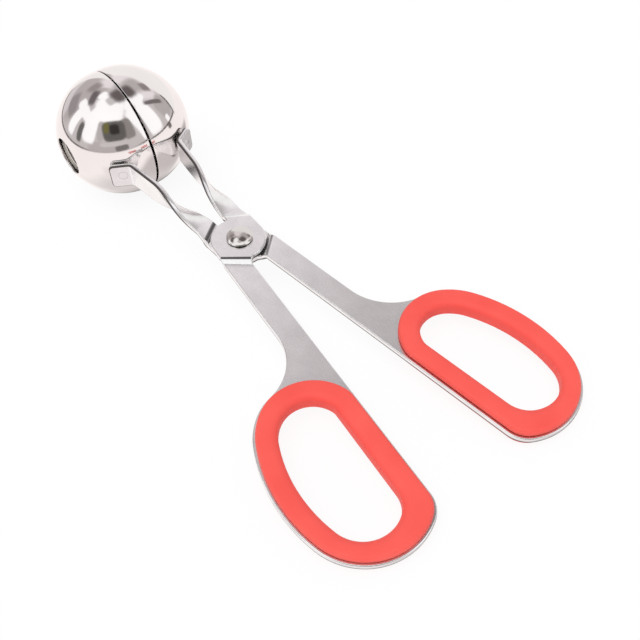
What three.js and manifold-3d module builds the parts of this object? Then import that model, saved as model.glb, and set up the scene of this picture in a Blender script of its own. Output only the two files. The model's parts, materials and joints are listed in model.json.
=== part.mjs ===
// Meatball scoop. Two identical steel arms cross on one rivet, one turned over on the other.
// Each arm carries half of a hollow ball at its front end and a moulded grip in its finger loop.
// Millimetres, +Z up, ball towards +Y, handles towards -Y, lying on the ball and on both grips.

import * as THREE from 'three';
import { mergeVertices } from 'three/addons/utils/BufferGeometryUtils.js';
import Module from 'manifold-3d';

// Sheet and general clearances
const sheetThickness = 1.8;
const layerGap = 0.3;
const seatGap = 0.3;

// Round pad of an arm at the rivet, and the steps that lead down from it to the handle and the strap.
// A step starts at its distance from the rivet, along a line turned away from the tool's axis: the
// handle's lies a little less than the pad's radius away, and the strap's a little more.
const padRadius = 8.65;
const padAhead = 0.3;
const stepRun = 2;
const stepRows = 3;
const handleStepInset = 0.85;
const handleStepAngle = THREE.MathUtils.degToRad(38.5);
const strapStepLag = 0.55;
const strapStepAngle = THREE.MathUtils.degToRad(32);

// Handle shank, seen from above: two parallel edges that lean away from the middle of the tool
const handleLean = THREE.MathUtils.degToRad(6.9);
const shankInset = 1.25;
const shankWidth = 7.8;
const crotchRadius = 2.5;
const flareRadius = 17;

// Finger loop: a straight side and six tangent arcs. Directions are those of the outward normal.
const arcStep = THREE.MathUtils.degToRad(9);
const loopDirections = {
  shoulder: THREE.MathUtils.degToRad(12.5),
  crown: THREE.MathUtils.degToRad(123),
  outside: THREE.MathUtils.degToRad(151),
  toe: THREE.MathUtils.degToRad(191),
  heel: THREE.MathUtils.degToRad(299),
};

// Outer edge of the grip
const rimReach = 67.2;
const rimNeckRadius = 7.1;
const rimShoulderRadius = 14.8;
const rimCrownRadius = 19.3;
const rimOutsideRadius = 46;
const rimHeelRadius = 7.2;

// Finger hole through the grip: it begins a little beyond the rim's start, and its arcs are tighter
// than the rim's by these insets, save the heel, which is wider
const holeLag = 0.7;
const holeNeckInset = 3.8;
const holeShoulderInset = 6.1;
const holeCrownInset = 6.8;
const holeOutsideInset = 3.4;
const holeHeelGain = 0.6;

// Grip section: a channel that lines the hole in the sheet and covers its rim on both faces
const rimExposure = 0.9;
const gripWidth = 6.2;
const gripHeight = 6;
const gripLining = 2;
const gripEdge = 1.1;

// Strap from the pad to the cup: it leans outwards, twists a quarter turn, then bends on to the cup
const strapOffset = 3.45;
const strapRootWidth = 7.45;
const strapNeckWidth = 6.6;
const strapLean = THREE.MathUtils.degToRad(6.9);
const twistLead = 0.4;
const twistLag = 1.3;
const twistEnd = 37;
const twistSteps = 14;
const bendRadius = 2.4;
const bendSteps = 5;

// Tab spot-welded to the cup
const tabWidth = 8.8;
const tabLength = 7.4;
const tabCorner = 1.6;
const tabCornerSteps = 4;
const tabDirection = THREE.MathUtils.degToRad(31);

// Cups: two halves of a hollow ball with a vent hole in each pole. Each is a hemisphere on a short
// straight rim, and their rims meet at the far end but stand a little open towards the rivet.
const ballRadius = 21.3;
const ballDistance = 69.9;
const cupRim = 1.6;
const cupWall = 0.9;
const seamGap = 0.7;
const seamTilt = THREE.MathUtils.degToRad(0.5);
const ventRadius = 6.4;
const cupSegments = 44;
const cupRings = 9;

// Rivet
const rivetRadius = 2.6;
const rivetHeadRadius = 4.1;
const rivetHeadHeight = 1.5;
const rivetHeadEdge = 0.35;
const rivetSegments = 32;
const rivetHeadSteps = 5;

const steelColour = 0xcfcccb;
const cupColour = 0xe2dedd;
const gripColour = 0xfb5f57;

const halfSheet = sheetThickness / 2;
const padLift = (sheetThickness + layerGap) / 2;
const handleStepStart = padRadius - handleStepInset;
const strapStepStart = padRadius + strapStepLag;
const twistStart = strapStepStart + twistLag;
const up = new THREE.Vector3(0, 0, 1);

const wasm = await Module();
wasm.setup();

// Solids

function solidFrom(geometry) {
  const bare = geometry.clone();
  bare.deleteAttribute('normal');
  bare.deleteAttribute('uv');
  const merged = mergeVertices(bare);
  const vertProperties = new Float32Array(merged.attributes.position.array);
  const triVerts = new Uint32Array(merged.index.array);
  return new wasm.Manifold(new wasm.Mesh({ numProp: 3, vertProperties, triVerts }));
}

function geometryFrom(solid) {
  const mesh = solid.getMesh();
  const geometry = new THREE.BufferGeometry();
  geometry.setAttribute('position', new THREE.BufferAttribute(mesh.vertProperties, 3));
  geometry.setIndex(new THREE.BufferAttribute(mesh.triVerts, 1));
  return geometry;
}

function joined(geometries) {
  const solids = geometries.map(solidFrom);
  return geometryFrom(solids.reduce((sum, solid) => sum.add(solid)));
}

// Closed grid of points: rings[i][j], closed along j, and along i too when it is a loop
function gridGeometry(rings, loop) {
  const around = rings[0].length;
  const positions = rings.flat().flatMap((point) => point.toArray());
  const indices = [];
  const last = loop ? rings.length : rings.length - 1;
  for (let i = 0; i < last; i += 1) {
    const next = (i + 1) % rings.length;
    for (let j = 0; j < around; j += 1) {
      const k = (j + 1) % around;
      indices.push(i * around + j, i * around + k, next * around + k);
      indices.push(i * around + j, next * around + k, next * around + j);
    }
  }
  if (!loop) {
    const end = last * around;
    for (let j = 1; j < around - 1; j += 1) {
      indices.push(0, j + 1, j);
      indices.push(end, end + j, end + j + 1);
    }
  }
  const geometry = new THREE.BufferGeometry();
  geometry.setAttribute('position', new THREE.Float32BufferAttribute(positions, 3));
  geometry.setIndex(indices);
  return geometry;
}

// Flat plate of one sheet thickness around a height
function plateGeometry(outline, holes, height) {
  const shape = new THREE.Shape(outline);
  shape.holes = holes.map((points) => new THREE.Path(points));
  const geometry = new THREE.ExtrudeGeometry(shape, { depth: sheetThickness, bevelEnabled: false });
  return geometry.translate(0, 0, height - halfSheet);
}

// Plane geometry

function direction(angle) {
  return new THREE.Vector2(Math.cos(angle), Math.sin(angle));
}

// Point where the lines a.p = da and b.p = db cross
function crossing(a, da, b, db) {
  const area = a.cross(b);
  return new THREE.Vector2(da * b.y - db * a.y, db * a.x - da * b.x).divideScalar(area);
}

function arcPoints(centre, radius, from, to) {
  const steps = Math.max(2, Math.ceil(Math.abs(to - from) / arcStep));
  const points = [];
  for (let i = 0; i <= steps; i += 1) {
    const angle = THREE.MathUtils.lerp(from, to, i / steps);
    points.push(direction(angle).multiplyScalar(radius).add(centre));
  }
  return points;
}

// Handle of the upper arm: the handle runs along `along`, and `inward` faces the other handle
const along = direction(-Math.PI / 2 - handleLean);
const inward = direction(-handleLean);
const innerEdge = -shankInset;
const outerEdge = innerEdge - shankWidth;

function onHandle(across, reach) {
  return along.clone().multiplyScalar(reach).addScaledVector(inward, across);
}

// Closed chain of the straight side and the arcs. The toe's radius and the length of the straight
// side follow from the others, because the chain has to come back to its start.
const toeArc = Object.keys(loopDirections).indexOf('toe') + 1;

function loopArcs(start, radii) {
  const turns = [-handleLean, ...Object.values(loopDirections), Math.PI * 2 - handleLean];
  const chords = radii.map((radius, i) => direction(turns[i + 1]).sub(direction(turns[i])));
  const sum = new THREE.Vector2();
  radii.forEach((radius, i) => sum.addScaledVector(chords[i], radius));
  const toeChord = chords[toeArc];
  const toeRadius = -sum.dot(inward) / toeChord.dot(inward);
  const corner = start.clone();
  return radii.map((given, i) => {
    const radius = i === toeArc ? toeRadius : given;
    const centre = corner.clone().addScaledVector(direction(turns[i]), -radius);
    corner.copy(centre).addScaledVector(direction(turns[i + 1]), radius);
    return { centre, radius, from: turns[i], to: turns[i + 1] };
  });
}

const rimStart = onHandle(innerEdge - rimExposure, rimReach);
const holeStart = onHandle(innerEdge - rimExposure - gripWidth, rimReach + holeLag);
const rimArcs = loopArcs(rimStart, [
  rimNeckRadius,
  rimShoulderRadius,
  rimCrownRadius,
  rimOutsideRadius,
  0,
  rimHeelRadius,
]);
const holeArcs = loopArcs(holeStart, [
  rimNeckRadius - holeNeckInset,
  rimShoulderRadius - holeShoulderInset,
  rimCrownRadius - holeCrownInset,
  rimOutsideRadius - holeOutsideInset,
  0,
  rimHeelRadius + holeHeelGain,
]);

// Points of a chain of arcs, each arc without the first point that it shares with the one before
function contour(arcs, offset) {
  return arcs.flatMap(({ centre, radius, from, to }, i) =>
    arcPoints(centre, radius + offset, from, to).slice(i === 0 ? 0 : 1));
}

function contourAngles(arcs) {
  const origin = new THREE.Vector2();
  return arcs.flatMap(({ from, to }, i) =>
    arcPoints(origin, 1, from, to).slice(i === 0 ? 0 : 1).map((point) => point.angle()));
}

// Arm

// The pad is flush with the shank's outer edge. A hollow corner leads from it to the inner edge.
const padCentre = onHandle(outerEdge + padRadius, -padAhead);
const crotchAcross = innerEdge + crotchRadius;
const crotchGap = crotchAcross - padCentre.dot(inward);
const crotchAhead = Math.sqrt((padRadius + crotchRadius) ** 2 - crotchGap ** 2);
const crotchCentre = onHandle(crotchAcross, padCentre.dot(along) + crotchAhead);
const crotchTurn = crotchCentre.clone().sub(padCentre).angle();
const handleStep = direction(-Math.PI / 2 - handleStepAngle);

// Point where a line across the handle step, at a distance from the rivet, meets the hollow corner
function crotchPoint(distance) {
  const offset = distance - handleStep.dot(crotchCentre);
  const side = direction(handleStep.angle() - Math.PI / 2);
  return crotchCentre.clone()
    .addScaledVector(handleStep, offset)
    .addScaledVector(side, Math.sqrt(Math.max(0, crotchRadius ** 2 - offset ** 2)));
}

function handleSides(distance) {
  const edge = crossing(handleStep, distance, inward, innerEdge);
  const curved = edge.dot(along) < crotchCentre.dot(along);
  return {
    inner: curved ? crotchPoint(distance) : edge,
    outer: crossing(handleStep, distance, inward, outerEdge),
  };
}

// Strap frame: `forward` runs to the cup, `outward` points away from the other strap
const forward = direction(Math.PI / 2 - strapLean);
const outward = direction(-strapLean);
const strapInner = strapOffset - strapNeckWidth / 2;
const strapOuter = strapInner + strapRootWidth;
const strapStep = direction(Math.PI / 2 - strapStepAngle);

// The outer side runs straight from the pad's side to the strap's foot
function strapSides(distance) {
  const foot = crossing(strapStep, strapStepStart + stepRun, outward, strapOuter);
  const rise = foot.clone().sub(padCentre);
  const turn = rise.angle() - Math.acos(padRadius / rise.length());
  return {
    inner: crossing(strapStep, distance, outward, strapInner),
    outer: crossing(strapStep, distance, direction(turn), padRadius + padCentre.dot(direction(turn))),
    turn,
  };
}

function padOutline() {
  const handleSide = handleSides(handleStepStart);
  const strapSide = strapSides(strapStepStart);
  const crotchFrom = handleSide.inner.clone().sub(crotchCentre).angle();
  const crotch = arcPoints(crotchCentre, crotchRadius, crotchFrom, crotchTurn - Math.PI);
  const front = arcPoints(padCentre, padRadius, crotchTurn - Math.PI * 2, strapSide.turn);
  const reach = strapInner - padCentre.dot(outward);
  const inset = Math.acos(reach / padRadius);
  const back = arcPoints(padCentre, padRadius, inset - strapLean, Math.PI - handleLean);
  const ends = [strapSide.outer, strapSide.inner];
  return [...crotch.slice(0, -1), ...front, ...ends, ...back, handleSide.outer];
}

function handleOutline() {
  const start = handleSides(handleStepStart + stepRun);
  const shoulder = rimArcs[1];
  const shoulderRadius = shoulder.radius + rimExposure;
  const flareAcross = outerEdge - flareRadius;
  const acrossGap = flareAcross - shoulder.centre.dot(inward);
  const alongGap = Math.sqrt((flareRadius + shoulderRadius) ** 2 - acrossGap ** 2);
  const flareCentre = onHandle(flareAcross, shoulder.centre.dot(along) - alongGap);
  const flareTurn = flareCentre.clone().sub(shoulder.centre).angle();
  const loop = rimArcs.map((arc, i) => ({ ...arc, from: i === 1 ? flareTurn : arc.from })).slice(1);
  const loopPoints = contour(loop, rimExposure).reverse();
  const flare = arcPoints(flareCentre, flareRadius, flareTurn - Math.PI, -handleLean);
  return [start.inner, ...loopPoints, ...flare.slice(1), start.outer].reverse();
}

// Row of a swept strip: its two edges in the middle of the sheet, and the direction across the sheet
function levelRow(first, second, height) {
  return {
    first: new THREE.Vector3(first.x, first.y, height),
    second: new THREE.Vector3(second.x, second.y, height),
    normal: up.clone(),
  };
}

function rowRing({ first, second, normal }) {
  return [
    first.clone().addScaledVector(normal, -halfSheet),
    first.clone().addScaledVector(normal, halfSheet),
    second.clone().addScaledVector(normal, halfSheet),
    second.clone().addScaledVector(normal, -halfSheet),
  ];
}

function handleStepRows() {
  const rows = [];
  for (let i = 0; i < stepRows; i += 1) {
    const share = i / (stepRows - 1);
    const { inner, outer } = handleSides(handleStepStart + stepRun * share);
    rows.push(levelRow(inner, outer, padLift * (1 - share)));
  }
  return rows;
}

// Centre line of the strap beyond its step: straight, a bend, then the tab, which is flat against
// the tangent of the ball, one seat gap off it
const tabForward = direction(tabDirection);
const tabOutward = direction(tabDirection - Math.PI / 2);
const cupCentre = new THREE.Vector2(cupRim, ballDistance);
const tabPlane = cupCentre.dot(tabOutward) + ballRadius + seatGap + halfSheet;
const crease = crossing(outward, strapOffset, tabOutward, tabPlane);
const bendAngle = forward.angle() - tabForward.angle();
const bendTrim = bendRadius * Math.tan(bendAngle / 2);
const bendStart = crease.clone().addScaledVector(forward, -bendTrim);
const bendCentre = bendStart.clone().addScaledVector(outward, bendRadius);
const straightEnd = bendStart.dot(forward);

// Row square to the centre line at a point, turned about the centre line by an angle
function turnedRow(point, side, width, turn) {
  const flat = new THREE.Vector3(side.x, side.y, 0);
  const across = flat.clone().multiplyScalar(Math.cos(turn)).addScaledVector(up, -Math.sin(turn));
  const normal = up.clone().multiplyScalar(Math.cos(turn)).addScaledVector(flat, Math.sin(turn));
  const centre = new THREE.Vector3(point.x, point.y, 0);
  return {
    first: centre.clone().addScaledVector(across, -width / 2),
    second: centre.clone().addScaledVector(across, width / 2),
    normal,
  };
}

function twistRow(reach) {
  const point = outward.clone().multiplyScalar(strapOffset).addScaledVector(forward, reach);
  const turn = THREE.MathUtils.smoothstep(reach, twistStart, twistEnd) * Math.PI / 2;
  const share = THREE.MathUtils.smoothstep(reach, twistStart, straightEnd);
  return turnedRow(point, outward, THREE.MathUtils.lerp(strapNeckWidth, tabWidth, share), turn);
}

function stepDownRows() {
  const start = strapSides(strapStepStart);
  const end = strapSides(strapStepStart + stepRun);
  return [levelRow(start.inner, start.outer, padLift), levelRow(end.inner, end.outer, 0)];
}

function twistRows() {
  const rows = [];
  const start = strapSides(strapStepStart + stepRun).inner.dot(forward) + twistLead;
  for (let i = 0; i <= twistSteps; i += 1) {
    rows.push(twistRow(THREE.MathUtils.lerp(start, twistEnd, i / twistSteps)));
  }
  return rows;
}

function bendRows() {
  const rows = [];
  for (let i = 0; i <= bendSteps; i += 1) {
    const side = direction(outward.angle() - bendAngle * i / bendSteps);
    const point = bendCentre.clone().addScaledVector(side, -bendRadius);
    rows.push(turnedRow(point, side, tabWidth, Math.PI / 2));
  }
  return rows;
}

function tabRows() {
  const rows = [];
  for (let i = 0; i <= tabCornerSteps; i += 1) {
    const angle = (Math.PI / 2) * i / tabCornerSteps;
    const reach = tabLength - tabCorner * (1 - Math.sin(angle));
    const width = tabWidth - 2 * tabCorner * (1 - Math.cos(angle));
    const point = crease.clone().addScaledVector(tabForward, reach);
    rows.push(turnedRow(point, tabOutward, width, Math.PI / 2));
  }
  return rows;
}

function armGeometry() {
  const rivetHole = arcPoints(new THREE.Vector2(), rivetRadius + seatGap, 0, Math.PI * 2).slice(1);
  const loopHole = contour(holeArcs, gripLining);
  return joined([
    plateGeometry(handleOutline(), [loopHole], 0),
    gridGeometry(handleStepRows().map(rowRing), false),
    plateGeometry(padOutline(), [rivetHole], padLift),
    gridGeometry([...stepDownRows(), ...twistRows(), ...bendRows(), ...tabRows()].map(rowRing), false),
  ]);
}

// Grip: the channel section carried round the loop, between the hole and the rim
function gripGeometry() {
  const hole = contour(holeArcs, 0);
  const rim = contour(rimArcs, 0);
  const angles = contourAngles(rimArcs);
  const top = gripHeight / 2;
  const groove = halfSheet + seatGap;
  const lining = gripLining - seatGap;
  const section = [
    { share: 0, offset: 0, height: gripEdge - top },
    { share: 0, offset: 0, height: top - gripEdge },
    { share: 0, offset: gripEdge, height: top },
    { share: 1, offset: -gripEdge, height: top },
    { share: 1, offset: 0, height: top - gripEdge },
    { share: 1, offset: 0, height: groove },
    { share: 0, offset: lining, height: groove },
    { share: 0, offset: lining, height: -groove },
    { share: 1, offset: 0, height: -groove },
    { share: 1, offset: 0, height: gripEdge - top },
    { share: 1, offset: -gripEdge, height: -top },
    { share: 0, offset: gripEdge, height: -top },
  ];
  const rings = hole.map((inner, i) => section.map(({ share, offset, height }) => {
    const point = inner.clone().lerp(rim[i], share).addScaledVector(direction(angles[i]), offset);
    return new THREE.Vector3(point.x, point.y, height);
  }));
  return gridGeometry(rings, true);
}

// Cup: a shell turned about the X axis, open towards -X, with its vent towards +X
function cupGeometry() {
  const innerRadius = ballRadius - cupWall;
  const brim = seamGap / 2;
  const arc = (radius, from, to) => {
    const points = [];
    for (let i = 0; i <= cupRings; i += 1) {
      const angle = THREE.MathUtils.lerp(from, to, i / cupRings);
      points.push(new THREE.Vector2(radius * Math.cos(angle), cupRim + radius * Math.sin(angle)));
    }
    return points;
  };
  const profile = [
    new THREE.Vector2(ballRadius, brim),
    ...arc(ballRadius, 0, Math.acos(ventRadius / ballRadius)),
    ...arc(innerRadius, Math.acos(ventRadius / innerRadius), 0),
    new THREE.Vector2(innerRadius, brim),
    new THREE.Vector2(ballRadius, brim),
  ];
  return new THREE.LatheGeometry(profile, cupSegments).rotateZ(-Math.PI / 2);
}

// Rivet: a plain shank between two domed heads, one seat gap off both arms
function rivetGeometry() {
  const seat = layerGap / 2 + sheetThickness + seatGap;
  const dome = (sign) => {
    const points = [new THREE.Vector2(rivetHeadRadius, sign * (seat + rivetHeadEdge))];
    for (let i = 1; i <= rivetHeadSteps; i += 1) {
      const angle = (Math.PI / 2) * i / rivetHeadSteps;
      const rise = (rivetHeadHeight - rivetHeadEdge) * Math.sin(angle);
      const radius = i === rivetHeadSteps ? 0 : rivetHeadRadius * Math.cos(angle);
      points.push(new THREE.Vector2(radius, sign * (seat + rivetHeadEdge + rise)));
    }
    return points;
  };
  const profile = [
    ...dome(-1).reverse(),
    new THREE.Vector2(rivetHeadRadius, -seat),
    new THREE.Vector2(rivetRadius, -seat),
    new THREE.Vector2(rivetRadius, seat),
    new THREE.Vector2(rivetHeadRadius, seat),
    ...dome(1),
  ];
  return new THREE.LatheGeometry(profile, rivetSegments).rotateX(Math.PI / 2);
}

// Assembly

const steel = { color: steelColour, roughness: 0.3, metalness: 1 };
const polished = { color: cupColour, roughness: 0.08, metalness: 1 };
const plastic = { color: gripColour, roughness: 0.5, metalness: 0 };

function piece(name, geometry, look) {
  const mesh = new THREE.Mesh(geometry, new THREE.MeshStandardMaterial(look));
  mesh.name = name;
  return mesh;
}

// One arm with its cup and grip, the right way up or turned over about the Y axis
function armGroup(armName, cupName, gripName, turn) {
  const group = new THREE.Group();
  group.add(piece(armName, armGeometry(), steel));
  const cup = piece(cupName, cupGeometry(), polished);
  cup.position.y = ballDistance;
  cup.rotation.z = seamTilt;
  group.add(cup);
  group.add(piece(gripName, gripGeometry(), plastic));
  group.rotation.y = turn;
  return group;
}

// The tool rests on the ball and on the lower edges of the grips, so it is tilted about X
function restingTilt() {
  const rimPoints = contour(rimArcs, -gripEdge);
  const gripEnd = Math.min(...rimPoints.map((point) => point.y));
  const length = ballDistance - gripEnd;
  const reach = Math.hypot(length, gripHeight / 2);
  return Math.asin(ballRadius / reach) - Math.atan2(gripHeight / 2, length);
}

const tool = new THREE.Group();
tool.add(armGroup('upper_arm', 'right_cup', 'left_grip', 0));
tool.add(armGroup('lower_arm', 'left_cup', 'right_grip', Math.PI));
tool.add(piece('rivet', rivetGeometry(), polished));
tool.rotation.x = restingTilt();

// Origin under the middle of the tool, on the surface that it lies on
const scoop = new THREE.Group();
scoop.add(tool);
scoop.updateMatrixWorld(true);
const extent = new THREE.Box3().setFromObject(scoop, true);
const middle = extent.getCenter(new THREE.Vector3());
tool.position.set(-middle.x, -middle.y, -extent.min.z);

export default scoop;
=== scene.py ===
import json
import math

import bpy
import numpy as np
from mathutils import Matrix, Vector
from mathutils.geometry import tessellate_polygon


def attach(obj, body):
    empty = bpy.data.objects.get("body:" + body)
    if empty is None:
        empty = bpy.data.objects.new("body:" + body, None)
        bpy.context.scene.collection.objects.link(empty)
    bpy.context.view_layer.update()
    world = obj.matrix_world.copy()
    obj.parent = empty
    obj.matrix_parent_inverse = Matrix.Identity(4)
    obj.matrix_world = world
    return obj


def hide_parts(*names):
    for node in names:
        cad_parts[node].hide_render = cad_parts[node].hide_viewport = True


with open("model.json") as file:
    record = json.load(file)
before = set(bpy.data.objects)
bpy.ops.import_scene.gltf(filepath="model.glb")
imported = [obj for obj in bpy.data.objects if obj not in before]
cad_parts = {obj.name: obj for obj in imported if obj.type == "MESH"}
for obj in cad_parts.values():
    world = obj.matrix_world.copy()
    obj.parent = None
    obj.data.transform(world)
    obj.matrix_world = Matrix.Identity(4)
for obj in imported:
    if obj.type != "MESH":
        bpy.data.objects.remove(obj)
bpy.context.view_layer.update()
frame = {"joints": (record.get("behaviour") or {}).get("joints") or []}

# Meatball scoop, closed, lying on its ball and on both grips.
# Shapes are worked out in the tool's own millimetres: the rivet is the origin, +Y runs to the ball,
# and +Z is the rivet's axis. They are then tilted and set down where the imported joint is.

MM = 0.001

# Sheet
SHEET = 1.8
HALF_SHEET = SHEET / 2
LAYER_GAP = 0.3
SEAT_GAP = 0.3
PAD_LIFT = (SHEET + LAYER_GAP) / 2
EDGE_ROUND = 0.35
EDGE_CROWN = math.radians(14)

# Pad and steps
PAD_RADIUS = 8.65
PAD_AHEAD = 0.3
STEP_RUN = 2.0
HANDLE_STEP_START = 7.8
HANDLE_STEP_ANGLE = math.radians(38.5)
HANDLE_STEP_SHARES = np.concatenate([np.linspace(0, 1, 13), [1.15, 1.35, 1.6, 1.85]])
STRAP_STEP_SHARES = np.linspace(0, 1, 9)
STRAP_STEP_START = 9.2
STRAP_STEP_ANGLE = math.radians(32)
STEP_EASE = 0.12

# Painted shade lines across the steps, standing for the shade and dark reflection in their bends:
# strength, then the shares of the step's run between which the line sets in and those between which it fades
HANDLE_BEND_SHADE = (1.0, (0, 0.08), (0.16, 0.3))
HANDLE_FOOT_SHADE = (0.22, (0.95, 1.15), (1.15, 1.85))
HANDLE_HOLLOW_SHADE = (0.6, (0.74, 0.88), (0.95, 1.1))
STRAP_HOLLOW_SHADE = (0.9, (0.45, 0.65), (0.85, 1.0))

# Handle shank
HANDLE_LEAN = math.radians(6.9)
SHANK_INSET = 1.25
SHANK_WIDTH = 7.8
CROTCH_RADIUS = 2.5
FLARE_RADIUS = 17.0

# Finger loop: outward normals where one arc meets the next, and the radii of the rim and of the hole
LOOP_TURNS = np.radians([-6.9, 12.5, 123.0, 151.0, 191.0, 299.0, 353.1])
TOE = 4
RIM_REACH = 67.2
RIM_RADII = (7.1, 14.8, 19.3, 46.0, 0.0, 7.2)
HOLE_REACH = 67.9
HOLE_RADII = (3.3, 8.7, 12.5, 42.6, 0.0, 7.8)

# Grip
RIM_EXPOSURE = 0.9
GRIP_WIDTH = 6.2
GRIP_HEIGHT = 6.0
GRIP_LINING = 2.0
GRIP_INNER_CORNER = (2.7, 1.8)
GRIP_OUTER_CORNER = (1.0, 1.3)
GRIP_FLANGE_EDGE = 0.15

# Strap and tab
STRAP_OFFSET = 3.45
STRAP_ROOT_WIDTH = 7.45
STRAP_NECK_WIDTH = 6.6
STRAP_LEAN = math.radians(6.9)
TWIST_LEAD = 0.4
TWIST_START = 10.5
TWIST_END = 37.0
BEND_RADIUS = 2.4
TAB_WIDTH = 8.8
TAB_LENGTH = 7.4
TAB_CORNER = 1.6
TAB_DIRECTION = math.radians(31)
WELD_REACH = 3.1
WELD_HEIGHT = -0.27

# Cups
BALL_RADIUS = 21.3
BALL_DISTANCE = 69.9
CUP_RIM = 1.6
CUP_WALL = 0.9
LIP_CORNER = 0.12
SEAM_GAP = 0.5
SEAM_TILT = math.radians(0.5)
VENT_RADIUS = 6.4
CUP_SEGMENTS = 128
RIVET_SEGMENTS = 64

# Rivet
RIVET_RADIUS = 2.6
RIVET_HEAD_RADIUS = 4.1
RIVET_HEAD_HEIGHT = 1.5
RIVET_HEAD_EDGE = 0.35
RIVET_SEAT_EDGE = 0.12
RIVET_DOME_POWER = 1.44

# Smooth curves bulge past the solids' facets; drawn in by this much they stay inside the solids' box
RIM_EASE = 0.07
BALL_EASE = 0.02


# Plane geometry

def direction(angle):
    """Unit vectors in the plane at an angle from +X, for one angle or an array of them."""
    return np.stack([np.cos(angle), np.sin(angle)], axis=-1)


def angle_of(vector):
    """Angle of a vector from +X, from 0 to a full turn."""
    return math.atan2(vector[1], vector[0]) % (2 * math.pi)


def crossing(a, da, b, db):
    """Point where the lines a.p = da and b.p = db cross."""
    area = a[0] * b[1] - a[1] * b[0]
    return np.array([da * b[1] - db * a[1], db * a[0] - da * b[0]]) / area


def arc(centre, radius, start, end, fine=math.radians(3)):
    """Centre plus radius times the unit vector of each angle from start to end, in even steps."""
    count = max(3, int(math.ceil(abs(end - start) / fine)))
    return centre + radius * direction(np.linspace(start, end, count + 1))


def smooth(x, start, end):
    """Smooth step: 3t^2 - 2t^3, where t runs from 0 at start to 1 at end."""
    t = np.clip((x - start) / (end - start), 0, 1)
    return t * t * (3 - 2 * t)


def painted_shade_line(shares, strength, onset, fading):
    """Strength of a painted shade line at each share: a smooth step up over the onset times one down
    over the fading."""
    return strength * smooth(shares, *onset) * (1 - smooth(shares, *fading))


# Placing

joint = frame["joints"][0]
TILT = math.atan2(-joint["axis"][1], joint["axis"][2])
PIVOT = np.array(joint["pos_m"])


def laid(vectors, turned):
    """Directions of the tool to those of the row frame. The lower arm's half is turned over about
    Y, and everything is tilted about X."""
    flip = np.array([-1.0, 1.0, -1.0]) if turned else np.ones(3)
    x, y, z = (np.atleast_2d(vectors) * flip).T
    c, s = math.cos(TILT), math.sin(TILT)
    return np.stack([x, c * y - s * z, s * y + c * z], axis=1)


def placed(points, turned):
    """Tool millimetres to the row frame in metres."""
    return laid(points, turned) * MM + PIVOT


def surface(name, points, faces, turned, body, nodes, material, normals=None):
    """A closed mesh from an array of points in tool millimetres and its faces. It is shaded by the
    given normals, or else smoothly but for its sharp corners."""
    mesh = bpy.data.meshes.new(name)
    mesh.from_pydata(placed(points, turned), [], faces)
    mesh.update()
    mesh.shade_smooth()
    if normals is None:
        mesh.set_sharp_from_angle(angle=math.radians(40))
    else:
        mesh.normals_split_custom_set_from_vertices(laid(normals, turned))
    mesh.materials.append(material)
    obj = bpy.data.objects.new(name, mesh)
    bpy.context.scene.collection.objects.link(obj)
    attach(obj, body)
    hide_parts(*nodes)
    return obj


def tube_faces(rows, around, start=0, loop=True):
    """Quads of a grid of points, closed along each row, and along the rows too when it is a loop."""
    i = np.arange(rows if loop else rows - 1)[:, None]
    j = np.arange(around)[None, :]
    k = (i + 1) % rows
    m = (j + 1) % around
    quads = np.stack([i * around + j, i * around + m, k * around + m, k * around + j], axis=-1)
    return (quads.reshape(-1, 4) + start).tolist()


def band_faces(rows, across, start=0):
    """Quads of a closed loop of rows of an open profile."""
    i = np.arange(rows)[:, None]
    j = np.arange(across - 1)[None, :]
    k = (i + 1) % rows
    quads = np.stack([i * across + j, i * across + j + 1, k * across + j + 1, k * across + j], axis=-1)
    return (quads.reshape(-1, 4) + start).tolist()


# Materials

def linear(hex_colour):
    """sRGB hex colour to linear RGBA."""
    value = np.array([int(hex_colour[i:i + 2], 16) for i in (1, 3, 5)]) / 255
    low, high = value / 12.92, ((value + 0.055) / 1.055) ** 2.4
    return (*np.where(value <= 0.04045, low, high).tolist(), 1.0)


def add(tree, kind, links=(), **settings):
    """Adds a node. Settings are its properties, or its inputs' values where the name starts with
    in_ and a number or name follows. Links are pairs of an input and the socket that feeds it."""
    node = tree.nodes.new(kind)
    for key, value in settings.items():
        if key.startswith("in_"):
            socket = key[3:]
            node.inputs[int(socket) if socket.isdigit() else socket.replace("_", " ")].default_value = value
        else:
            setattr(node, key, value)
    for socket, source in links:
        tree.links.new(source, node.inputs[socket])
    return node


def blank_material(name):
    material = bpy.data.materials.new(name)
    material.use_nodes = True
    material.node_tree.nodes.clear()
    return material, material.node_tree


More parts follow.
